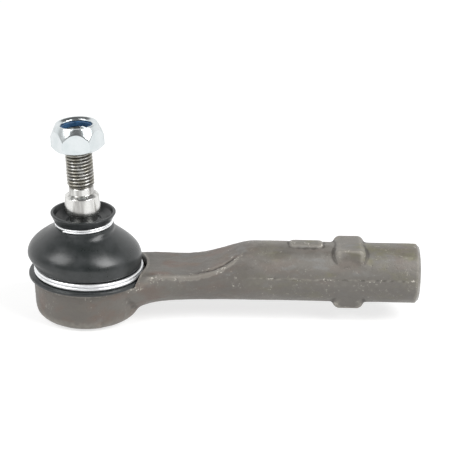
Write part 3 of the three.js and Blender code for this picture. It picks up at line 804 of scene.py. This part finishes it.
def forging_lugs():
    """The block through the tube whose two flats take a spanner, narrower towards its flats."""
    half = LUG_LENGTH / 2
    bm = bmesh.new()
    bmesh.ops.create_cube(bm, size=2)
    bmesh.ops.subdivide_edges(bm, edges=bm.edges, cuts=30, use_grid_fill=True)
    for vert in bm.verts:
        x = vert.co.x * half
        z = vert.co.z * (LUG_HALF_HEIGHT - corner_fall(x, half, LUG_CORNER))
        draft = clamp((abs(z) - LUG_ROOT_HEIGHT) / (LUG_HALF_HEIGHT - LUG_ROOT_HEIGHT))
        width = LUG_ROOT_HALF_WIDTH + (LUG_HALF_WIDTH - LUG_ROOT_HALF_WIDTH) * draft
        y = vert.co.y * (width - corner_fall(x, half, LUG_SIDE_CORNER))
        vert.co = (x + LUG_CENTRE, y, z + SHANK_AXIS)
    return as_object("forging_lugs", bm)


def forging_pad():
    """The low pad on top of the tube, as round as the tube but a little proud of it."""
    bm = bmesh.new()
    bmesh.ops.create_cube(bm, size=1)
    size = Vector((PAD_LENGTH, PAD_HALF_WIDTH * 2, PAD_DEPTH))
    bmesh.ops.scale(bm, vec=size, verts=bm.verts)
    upright = [edge for edge in bm.edges if abs(edge.verts[0].co.z - edge.verts[1].co.z) > 1]
    bmesh.ops.bevel(
        bm, geom=upright, offset=PAD_CORNER, affect="EDGES", segments=4, profile=0.5, material=-1
    )
    for y in (-2, -1, 0, 1, 2):
        sliced(bm, (0, y, 0), (0, 1, 0))
    radius = TUBE_RADIUS + PAD_RISE
    for vert in bm.verts:
        crown = math.sqrt(radius ** 2 - vert.co.y ** 2)
        vert.co.z = SHANK_AXIS + (crown if vert.co.z > 0 else radius - PAD_DEPTH)
    moved(bm, Matrix.Translation((PAD_START + PAD_LENGTH / 2, 0, 0)))
    return as_object("forging_pad", bm)


def joined(parts, name):
    """Several closed shells as one object."""
    bm = bmesh.new()
    for part in parts:
        bm.from_mesh(part.data)
        bpy.data.objects.remove(part)
    return as_object(name, bm)


def smoothed(bm, verts, passes):
    """Moves points half-way to the middle of their neighbours, again and again."""
    for _ in range(passes):
        bmesh.ops.smooth_vert(
            bm, verts=verts, factor=0.5, use_axis_x=True, use_axis_y=True, use_axis_z=True
        )


def forged_fillets(made):
    """Melts the joined shells into one skin whose corners are as soft as a forging's."""
    remesh = made.modifiers.new("skin", "REMESH")
    remesh.mode = "VOXEL"
    remesh.voxel_size = VOXEL
    settled(made)
    bm = bmesh.new()
    bm.from_mesh(made.data)
    smoothed(bm, bm.verts, FILLET_PASSES)
    junction = [vert for vert in bm.verts if 6 < vert.co.x < JUNCTION_END and vert.co.z < SHANK_AXIS + 1]
    smoothed(bm, junction, JUNCTION_PASSES)
    bm.normal_update()
    for vert in bm.verts:
        broad = noise.noise(vert.co / 7.0) * 0.10
        fine = noise.noise(vert.co / 1.7) * 0.035
        vert.co += vert.normal * (broad + fine + forge_marks(vert.co))
    bm.to_mesh(made.data)
    bm.free()


def mark_edges(made, passes=12, reach=0.10):
    """Writes how far each point stands out of its smoothed surroundings, from -1 to 1, as "edge"."""
    bm = bmesh.new()
    bm.from_mesh(made.data)
    bm.normal_update()
    before = [(vert.co.copy(), vert.normal.copy()) for vert in bm.verts]
    smoothed(bm, bm.verts, passes)
    bm.verts.ensure_lookup_table()
    values = [
        clamp((place - vert.co).dot(normal) / reach, -1, 1)
        for vert, (place, normal) in zip(bm.verts, before)
    ]
    bm.free()
    attribute = made.data.attributes.new("edge", "FLOAT", "POINT")
    attribute.data.foreach_set("value", values)


def machining_tools():
    """What is cut after forging: the boot's seat and collar, the cavity, the end face and the thread."""
    seat = turned(filleted([
        (0, COLLAR_TOP),
        (COLLAR_RADIUS, COLLAR_TOP, 0.8),
        (COLLAR_RADIUS, SOCKET_HEIGHT, 0.4),
        (STEP_RADIUS, SOCKET_HEIGHT, 0.5),
        (STEP_RADIUS, SOCKET_HEIGHT + 30),
        (0, SOCKET_HEIGHT + 30),
    ]), steps=160)
    lip = COVER_RADIUS - 1.9  # rolled over the cover's rim
    recess = COVER_RADIUS + 0.3
    cavity = turned(filleted([
        (0, -1),
        (lip + 0.6, -1),
        (lip, 0.7, 0.5),
        (lip, 1.6, 0.4),
        (recess, 1.6),
        (recess, COVER_TOP + 0.3),
        (SOCKET_BORE, COVER_TOP + 0.3, 0.4),
        (SOCKET_BORE, BALL.z + 1),
        (MOUTH_RADIUS, COLLAR_TOP, 0.5),
        (MOUTH_RADIUS, COLLAR_TOP + 2),
        (0, COLLAR_TOP + 2),
    ]), steps=120)
    end_face = along_x(turned([
        (0, TUBE_END),
        (TUBE_RADIUS - TUBE_CHAMFER, TUBE_END),
        (TUBE_RADIUS + 1, TUBE_END - TUBE_CHAMFER * 2),
        (TUBE_RADIUS + 3, TUBE_END - TUBE_CHAMFER * 2),
        (TUBE_RADIUS + 3, TUBE_END + 4),
        (0, TUBE_END + 4),
    ], steps=128), SHANK_AXIS)
    thread = along_x(screw(
        TAP_MAJOR, TAP_MINOR, TAP_PITCH, TAP_START, TAP_MOUTH,
        envelope=lambda x: TAP_MINOR + (x - TAP_START) * 0.4,
        below=[(0, TAP_START - 3.6)],
        above=[(TAP_MAJOR + 0.05, TAP_MOUTH), (TAP_MAJOR + 1.45, TUBE_END + 0.3), (0, TUBE_END + 0.3)],
        steps=72,
    ), SHANK_AXIS)
    shapes = {"seat_cutter": seat, "cavity_cutter": cavity, "end_cutter": end_face, "tap_cutter": thread}
    return [as_object(name, bm) for name, bm in shapes.items()]


def socket_forging(skin, machined):
    """The housing: one forged skin, with the machined faces cut into it in a steel of their own."""
    made = joined([forging_shank(), forging_drum(), forging_lugs(), forging_pad()], "socket_forging")
    forged_fillets(made)
    made.data.materials.append(skin)
    made.data.materials.append(machined)
    for tool in machining_tools():
        tool.data.materials.append(skin)
        tool.data.materials.append(machined)
        for face in tool.data.polygons:
            face.material_index = 1
        cut(made, tool)
    indices = [face.material_index for face in made.data.polygons]
    mark_edges(made)
    finish_piece(made, "housing", "forged_body", [skin, machined])
    made.data.polygons.foreach_set("material_index", indices)
    return made


# ======== ball stud

def stud_piece(material):
    """The ball, its neck, the taper and the thread, turned as one and leaned over."""
    ball_steps = 22
    neck_angle = math.acos(NECK_RADIUS / BALL_RADIUS)
    ball = []
    for step in range(ball_steps + 1):
        angle = neck_angle - (neck_angle + math.pi / 2) * step / ball_steps
        ball.append((BALL_RADIUS * math.cos(angle), BALL_RADIUS * math.sin(angle)))
    ball[-1] = (0, -BALL_RADIUS)
    relief = STUD_ROOT + 0.35
    below = filleted([
        (STUD_ROOT, THREAD_START),
        (relief, THREAD_START - 0.35, 0.15),
        (relief, TAPER_TOP + 1.0, 0.3),
        (TAPER_SMALL - 1.1, TAPER_TOP + 0.85, 0.15),
        (TAPER_SMALL, TAPER_TOP, 0.3),
        (TAPER_LARGE, NECK_LENGTH + 0.5, 0.3),
        (TAPER_LARGE - 0.6, NECK_LENGTH - 0.1, 0.2),
        (NECK_RADIUS, NECK_LENGTH - 0.9, 0.3),
        (NECK_RADIUS, BALL_RADIUS * math.sin(neck_angle) + 1.2),
    ], steps=4)[1:] + ball
    top = THREAD_END + 0.6
    tip = STUD_ROOT - 0.25

    def envelope(height):
        return min(STUD_ROOT + (height - THREAD_START) * 0.9, tip + (top - height) * 1.2)

    above = [(tip, top - 0.05), (tip - 0.15, top), (tip - 1.5, top), (0, top)]
    bm = screw(
        STUD_CREST, STUD_ROOT, STUD_PITCH, THREAD_START, THREAD_END, envelope, below, above, steps=96
    )
    made = as_object("threaded_ball_stud", moved(bm, LEANING))
    return finish_piece(made, "stud", "ball_stud", [material], STUD_SHARP_ANGLE)


# ======== boot and rings

def lean_with_stud(bm):
    """Leans the boot above its lower groove with the stud.

    The wall bulges on the side the stud leans to and is drawn in on the other, and the cup's rim stays
    level.
    """
    for vert in bm.verts:
        height = vert.co.z
        share = smooth_step(height, LOWER_GROOVE_TOP, BULGE_HEIGHT + 1)
        rim = smooth_step(height, UPPER_GROOVE_TOP + 0.3, CUP_HEIGHT)
        climb = clamp((height - LOWER_GROOVE_TOP) / (BOOT_BORE_BOTTOM - LOWER_GROOVE_TOP))
        bulge = math.sin(math.pi * climb ** 1.5)
        radius = math.hypot(vert.co.x, vert.co.y)
        drawn = smooth_step(height, BULGE_HEIGHT - 3, SHOULDER_HEIGHT)
        drawn *= 1 - 0.5 * smooth_step(height, SHOULDER_HEIGHT, UPPER_GROOVE_HEIGHT)
        drawn *= smooth_step(radius, UPPER_GROOVE_RADIUS, UPPER_GROOVE_RADIUS + 5)
        drawn *= BOOT_STRETCH * (0.5 + vert.co.x / radius / 2) ** 1.6 * (height < UPPER_GROOVE_HEIGHT)
        vert.co.x *= 1 - drawn / radius
        vert.co.y *= 1 - drawn / radius
        vert.co.z += -vert.co.x * math.tan(STUD_LEAN) * rim * 0.8
        turned_by = Matrix.Rotation(-STUD_LEAN * share, 3, "Y")
        vert.co = turned_by @ (vert.co - BALL) + BALL
        vert.co.x -= BOOT_SIDE_SHIFT * bulge
    return bm


def boot_outline():
    """Up the outside from the lower lip to the cup, then down the bore and the inside of the wall."""
    bead_bore = COLLAR_RADIUS + 0.1
    stud_bore = NECK_RADIUS + 0.05
    lip_end = (BULGE_RADIUS - 0.75, LOWER_GROOVE_TOP + 0.6)
    lip = filleted([
        (bead_bore, BOOT_BOTTOM),
        (LIP_RADIUS, BOOT_BOTTOM, 0.45),
        (LIP_RADIUS, BOOT_LIP_TOP, 0.45),
        (LOWER_GROOVE_RADIUS, BOOT_LIP_TOP, 0.3),
        (LOWER_GROOVE_RADIUS, LOWER_GROOVE_TOP, 0.3),
        (BULGE_RADIUS - 1.1, LOWER_GROOVE_TOP, 0.2),
        lip_end,
    ])
    shoulder = flowing([
        lip_end,
        (BULGE_RADIUS, BULGE_HEIGHT),
        (BULGE_RADIUS - 1.5, BULGE_HEIGHT + 3.6),
        (BULGE_RADIUS - 5.1, BULGE_HEIGHT + 7),
        (UPPER_GROOVE_RADIUS + 1.1, UPPER_GROOVE_HEIGHT - 0.5),
    ], steps=8)
    cup = filleted([
        (UPPER_GROOVE_RADIUS + 0.6, UPPER_GROOVE_HEIGHT - 0.05),
        (UPPER_GROOVE_RADIUS, UPPER_GROOVE_HEIGHT, 0.2),
        (UPPER_GROOVE_RADIUS, UPPER_GROOVE_TOP, 0.25),
        (UPPER_GROOVE_RADIUS + 0.9, UPPER_GROOVE_TOP + 0.3, 0.3),
        (CUP_RADIUS, CUP_HEIGHT - 0.1, 0.3),
        (CUP_RADIUS - 1.15, CUP_HEIGHT, 0.25),
        (CUP_RADIUS - 1.75, CUP_HEIGHT - 1.7, 0.5),
        (UPPER_GROOVE_RADIUS - 1.4, UPPER_GROOVE_TOP + 0.3, 0.9),
        (NECK_RADIUS + 1.4, UPPER_GROOVE_TOP - 0.2, 0.5),
        (stud_bore, UPPER_GROOVE_TOP + 0.3),
        (stud_bore, BOOT_BORE_BOTTOM),
    ])
    inside = flowing([
        (UPPER_GROOVE_RADIUS - 1, UPPER_GROOVE_HEIGHT - 1.6),
        (BULGE_RADIUS - 5.1 - BOOT_WALL * 0.7, BULGE_HEIGHT + 7 - BOOT_WALL * 0.8),
        (BULGE_RADIUS - 1.5 - BOOT_WALL, BULGE_HEIGHT + 3),
        (BULGE_RADIUS - BOOT_WALL, BULGE_HEIGHT - 0.4),
        (bead_bore + 1, LOWER_GROOVE_TOP + 0.4),
    ], steps=6)
    return lip + shoulder + cup + inside + [(bead_bore, LOWER_GROOVE_TOP)]


def boot_piece(material):
    """The boot, with its lower lip on the socket and its collar leaned over with the stud; it hangs on no body."""
    bm = lean_with_stud(turned(boot_outline(), steps=144, closed=True))
    made = as_object("rubber_boot", bm)
    finish_piece(made, None, "dust_boot", [material], ROUNDED_ANGLE)
    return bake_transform(made)


def wire_ring(radius, wire, height, from_angle, sweep, step_angle):
    """Round wire wound about Z, one turn on the next, with a short step between them.

    Angles are in degrees. The wire's two ends stand out a little.
    """
    sides = 14
    sweep = math.radians(sweep)
    step_start = math.radians(step_angle)
    bm = bmesh.new()
    bmesh.ops.create_circle(bm, cap_ends=True, segments=sides, radius=wire / 2)
    moved(bm, Matrix.Translation((radius, 0, 0)) @ Matrix.Rotation(math.pi / 2, 4, "X"))
    steps = round(math.degrees(sweep) / 2.5)
    faces = bm.faces[:]
    turn = Matrix.Rotation(sweep / steps, 3, "Z")
    rings = [list(bm.verts)]
    for _ in range(steps):
        made = bmesh.ops.extrude_face_region(bm, geom=faces)["geom"]
        verts = only(bmesh.types.BMVert, made)
        bmesh.ops.rotate(bm, cent=ORIGIN, matrix=turn, verts=verts)
        if len(rings) > 1:
            bmesh.ops.delete(bm, geom=faces, context="FACES_ONLY")
        faces = only(bmesh.types.BMFace, made)
        rings.append(verts)
    for index, verts in enumerate(rings):
        angle = sweep * index / steps
        share = smooth_step(angle, step_start, step_start + math.radians(24))
        from_end = min(index, steps - index) * sweep / steps
        flick = 0.3 * (1 - smooth_step(from_end, 0, math.radians(9))) * wire
        out = Vector((math.cos(angle), math.sin(angle), 0)) * flick
        lift = Vector((0, 0, (wire * 1.03) * share))
        bmesh.ops.translate(bm, vec=out + lift, verts=verts)
    turn = Matrix.Rotation(math.radians(from_angle), 4, "Z")
    return moved(bm, Matrix.Translation((0, 0, height)) @ turn)


def ring_pieces(material):
    """The lower ring, a little off the boot's middle, and the upper one, which leans with the stud."""
    lower = wire_ring(
        LOWER_GROOVE_RADIUS + 0.1 + LOWER_WIRE / 2, LOWER_WIRE, BOOT_LIP_TOP + 0.15 + LOWER_WIRE / 2,
        from_angle=95, sweep=712, step_angle=340,
    )
    moved(lower, Matrix.Translation((LOWER_RING_SHIFT, 0, 0)))
    made = as_object("lower_clamp_ring", weld(lower))
    finish_piece(made, "housing", "boot_ring_lower", [material])
    upper = wire_ring(
        UPPER_GROOVE_RADIUS + 0.06 + UPPER_WIRE / 2, UPPER_WIRE,
        UPPER_GROOVE_HEIGHT - BALL.z + 0.1 + UPPER_WIRE / 2,
        from_angle=229, sweep=697, step_angle=200,
    )
    made = as_object("upper_clamp_ring", weld(moved(upper, LEANING)))
    finish_piece(made, "boot_collar", "boot_ring_upper", [material])


# ======== lock nut

def hexagon_radius(angle):
    """How far a hexagon with softened corners reaches at an angle round Z."""
    flat = NUT_FLATS / 2
    sector = math.radians(60)
    from_corner = abs((angle + sector / 2) % sector - sector / 2)
    corner_distance = flat / math.cos(sector / 2) - NUT_EDGE / math.cos(sector / 2)
    aside = corner_distance * math.sin(from_corner)
    if aside < NUT_EDGE:
        rounded = corner_distance * math.cos(from_corner) + math.sqrt(NUT_EDGE ** 2 - aside ** 2)
    else:
        rounded = math.inf
    return min(rounded, flat / math.cos(sector / 2 - from_corner))


def nut_outline():
    """The nut's outer outline, then its rolled rim and its insides, down to the thread."""
    reach = NUT_FLATS / 2 / math.cos(math.radians(30)) + 0.3
    chamfer = []
    for step in range(13):
        past = (reach - NUT_FACE_RADIUS) * step / 12
        chamfer.append((NUT_FACE_RADIUS + past, past * NUT_FACE_SLOPE))
    sides = [(reach, 1.4 + (NUT_CONE_START - 1.8) * step / 6) for step in range(7)]
    cone_steps = 56
    cone = []
    cone_height = NUT_CONE_TOP - NUT_CONE_START + 0.5
    cone_slope = (reach - NUT_RIM_RADIUS) / cone_height
    for step in range(1, cone_steps + 1):
        share = step / cone_steps
        height = NUT_CONE_START - 0.5 + cone_height * share
        swell = 0.16 * math.sin(math.pi * share)
        cone.append((reach - cone_slope * (height - NUT_CONE_START + 0.5) + swell, height))
    rim = filleted([
        (NUT_RIM_RADIUS, NUT_CONE_TOP),
        (NUT_RIM_RADIUS - 0.3, NUT_HEIGHT - 0.04, 0.28),
        (NUT_RIM_RADIUS - 1.0, NUT_HEIGHT, 0.6),
        (NUT_MOUTH_RADIUS + 0.15, NUT_HEIGHT - 0.65, 0.45),
        (NUT_MOUTH_RADIUS, NUT_HEIGHT - 1.25, 0.15),
        (POCKET_RADIUS, NUT_HEIGHT - 1.3),
        (POCKET_RADIUS, INSERT_FLOOR),
        (NUT_BORE, INSERT_FLOOR),
        (NUT_BORE, 0.6),
        (NUT_BORE + 1.7, 0),
    ])
    return [(7.4, 0)] + chamfer + sides + cone + rim[1:]


def nut_piece(material):
    """The nut, turned and then drawn in to a hexagon, tapped and set on the stud."""
    bm = turned(nut_outline(), steps=360, closed=True)
    for vert in bm.verts:
        radius = math.hypot(vert.co.x, vert.co.y)
        if radius > NUT_RIM_RADIUS + 0.1:
            angle = math.atan2(vert.co.y, vert.co.x)
            kept = soft_min(radius, hexagon_radius(angle), 0.16) / radius
            vert.co.x *= kept
            vert.co.y *= kept
    made = as_object("self_locking_nut", bm)
    cut(made, as_object("nut_tap", screw(
        NUT_TAP_MAJOR, NUT_TAP_MINOR, STUD_PITCH, -0.4, INSERT_FLOOR + 0.2,
        envelope=lambda height: NUT_TAP_MAJOR,
        below=[(NUT_TAP_MAJOR, -0.6), (0, -0.6)],
        above=[(NUT_TAP_MINOR, INSERT_FLOOR + 0.3), (0, INSERT_FLOOR + 0.3)],
        steps=72,
    )))
    seat = LEANING @ Matrix.Translation((0, 0, NUT_SEAT)) @ Matrix.Rotation(NUT_TURN, 4, "Z")
    made.data.transform(seat)
    return finish_piece(made, "nut", "lock_nut", [material], ROUNDED_ANGLE)


def insert_piece(material):
    """The nylon ring in the nut's pocket."""
    bottom = INSERT_FLOOR + 0.1
    top = bottom + INSERT_THICKNESS
    outline = filleted([
        (INSERT_BORE, bottom, 0.2),
        (INSERT_RADIUS, bottom),
        (INSERT_RADIUS, top - 0.35, 0.3),
        (INSERT_RADIUS - 0.5, top, 0.4),
        (INSERT_BORE, top, 0.35),
    ])
    bm = turned(outline, steps=120, closed=True)
    moved(bm, LEANING @ Matrix.Translation((0, 0, NUT_SEAT)))
    made = as_object("locking_insert", bm)
    return finish_piece(made, "nut_lead", "nylon_insert", [material])


# ======== inside the socket

def cover_piece(material):
    """The pressed plate under the ball, dished down to the socket's base."""
    thickness = 1.4
    dish = COVER_RADIUS - 5.8
    drop = COVER_TOP - thickness
    outline = filleted([
        (0, 0.12),
        (2.2, 0.12, 0.3),
        (3.0, 0, 0.4),
        (dish, 0, 0.8),
        (dish + drop, drop, 0.8),
        (COVER_RADIUS, drop, 0.3),
        (COVER_RADIUS, COVER_TOP, 0.3),
        (dish + drop - 0.5, COVER_TOP, 0.8),
        (dish - 0.5, thickness, 0.8),
        (0, thickness),
    ])
    made = as_object("rolled_in_cover", turned(outline, steps=120))
    return finish_piece(made, "housing", "end_cover", [material])


def repaint(node, material):
    """Gives a CAD node that stays a better material."""
    for slot in frame["nodes"][node].material_slots:
        slot.material = material


# ======== studio

def towards(azimuth, elevation):
    """The way from the part to the front, turned right and up by degrees."""
    across = math.radians(azimuth)
    up = math.radians(elevation)
    return Vector((math.sin(across) * math.cos(up), -math.cos(across) * math.cos(up), math.sin(up)))


def add_camera():
    """A long lens in front of the part, looking down on it, rolled a little. Lengths in millimetres."""
    roll = math.radians(1.5)
    distance = 609.6
    forward = -towards(-0.82, 22.6)
    right = forward.cross(UP).normalized()
    up = right.cross(forward)
    across = right * math.cos(roll) + up * math.sin(roll)
    upwards = up * math.cos(roll) - right * math.sin(roll)
    shift_up = 0.57
    target = Vector((50.8, 0, 35.3)) + upwards * shift_up
    place = target - forward * distance
    camera = linked("camera", bpy.data.cameras.new("camera"))
    turn = Matrix((across, upwards, -forward)).transposed().to_4x4()
    camera.matrix_world = Matrix.Translation(place * MM) @ turn
    camera.data.lens = 132
    camera.data.sensor_width = 36
    camera.data.clip_start = 0.01
    bpy.context.scene.camera = camera


def add_softbox(name, place, aim, size, power):
    """A rectangular light that faces a point."""
    light = bpy.data.lights.new(name, "AREA")
    light.shape = "RECTANGLE"
    light.size, light.size_y = size
    light.energy = power
    lamp = linked(name, light)
    lamp.location = place
    lamp.rotation_euler = (Vector(aim) - Vector(place)).to_track_quat("-Z", "Y").to_euler()


def pale_room():
    """A dim room above and in front, brighter at its sides, with a white backdrop low behind the part."""
    world = bpy.data.worlds.new("pale_room")
    world.use_nodes = True
    paint = Paint(None, world.node_tree)
    across, back, up = paint.parts(paint.node("ShaderNodeTexCoord", {}, {}, "Generated"))
    low = paint.between(up, 0.74, 0.52)
    behind = paint.between(back, -0.15, 0.35)
    beside = paint.between(across * across, 0.10, 0.60)
    glow = 0.16 + low * (behind * 0.95 + (1 - behind) * beside * 0.45)
    room = paint.node("ShaderNodeBackground", {}, {"Color": (1, 1, 1, 1), "Strength": glow})
    paint.end_at("ShaderNodeOutputWorld", room)
    bpy.context.scene.world = world


def add_studio():
    """A pale floor under the part, two soft boxes in front of it and a pale room, in metres."""
    floor_drop = 0.0003
    box_distance = 1.1
    box_size = (0.62, 0.62)
    bm = bmesh.new()
    bmesh.ops.create_grid(bm, x_segments=8, y_segments=8, size=3)
    moved(bm, Matrix.Translation((0, 0, -floor_drop)))
    floor = as_object("studio_floor", bm)
    floor.data.materials.append(floor_glow())
    centre = Vector((0.05, 0, 0.03))
    for name, side, power in (("left_box", -1, 7.0), ("right_box", 1, 10.5)):
        place = centre + towards(59 * side, 43) * box_distance
        add_softbox(name, place, centre, box_size, power)
    pale_room()
    bpy.context.scene.view_settings.view_transform = "Standard"


# ======== the whole

add_camera()
add_studio()
plastic = bearing_plastic()
plated_wire = ring_wire()
socket_forging(forging_skin(), machined_steel())
cover_piece(pressed_steel())
stud_piece(stud_steel())
boot_piece(boot_rubber())
ring_pieces(plated_wire)
nut_piece(zinc_plate())
insert_piece(blue_nylon())
repaint("preload_spring", spring_steel())
repaint("lower_seat", plastic)
repaint("upper_seat", plastic)
